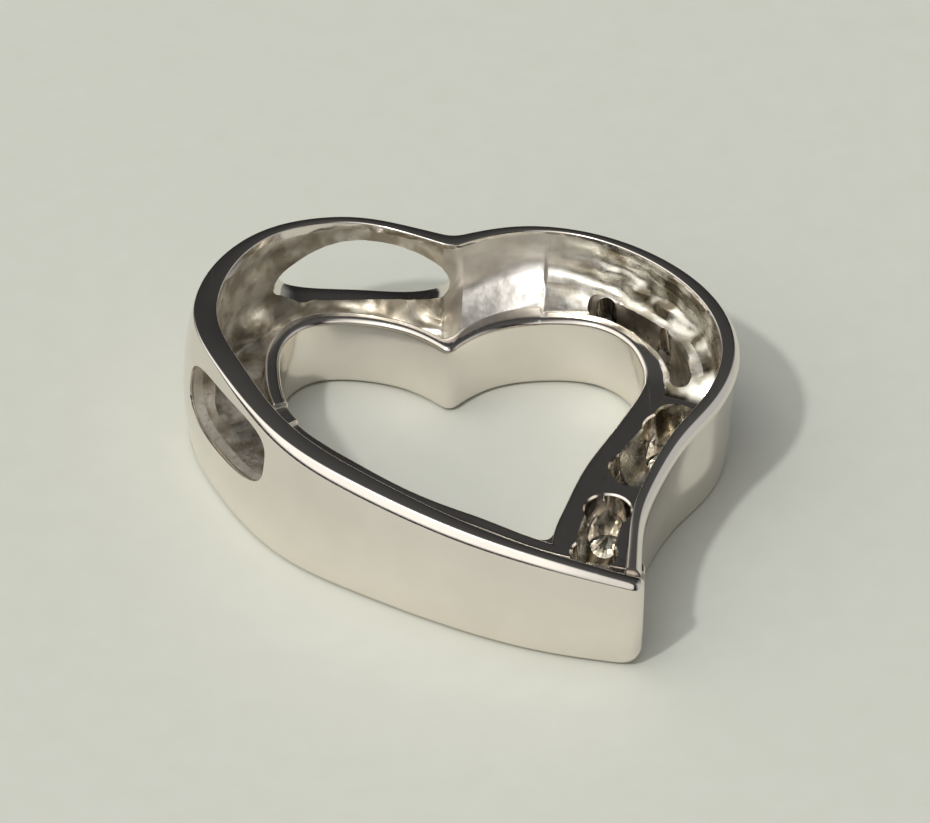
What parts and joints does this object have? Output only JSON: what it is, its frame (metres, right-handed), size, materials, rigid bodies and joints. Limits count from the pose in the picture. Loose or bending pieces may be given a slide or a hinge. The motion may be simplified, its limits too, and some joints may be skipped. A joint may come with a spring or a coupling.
{
  "type": "heart pendant",
  "caption": "Skewed open heart slide pendant: a polished ribbon with a hollow back, chain slots in the plain lobe and a row of round stones along the other arm.",
  "frame": {"origin": "middle of the footprint, on the plane that the pendant's face rests on", "axes": "+Z out of the hollow back, +Y from the point towards the two lobes, +X towards the arm with the stones"},
  "size_m": [0.0182, 0.0172, 0.0052],
  "materials": {
    "white_metal": "polished, as cast inside the hollows",
    "stone": "faceted and polished"
  },
  "bodies": {
    "root": {"heart_frame": "white_metal", "stone_1": "stone", "stone_2": "stone", "stone_3": "stone", "stone_4": "stone", "stone_5": "stone", "stone_6": "stone", "stone_7": "stone"}
  },
  "joints": []
}
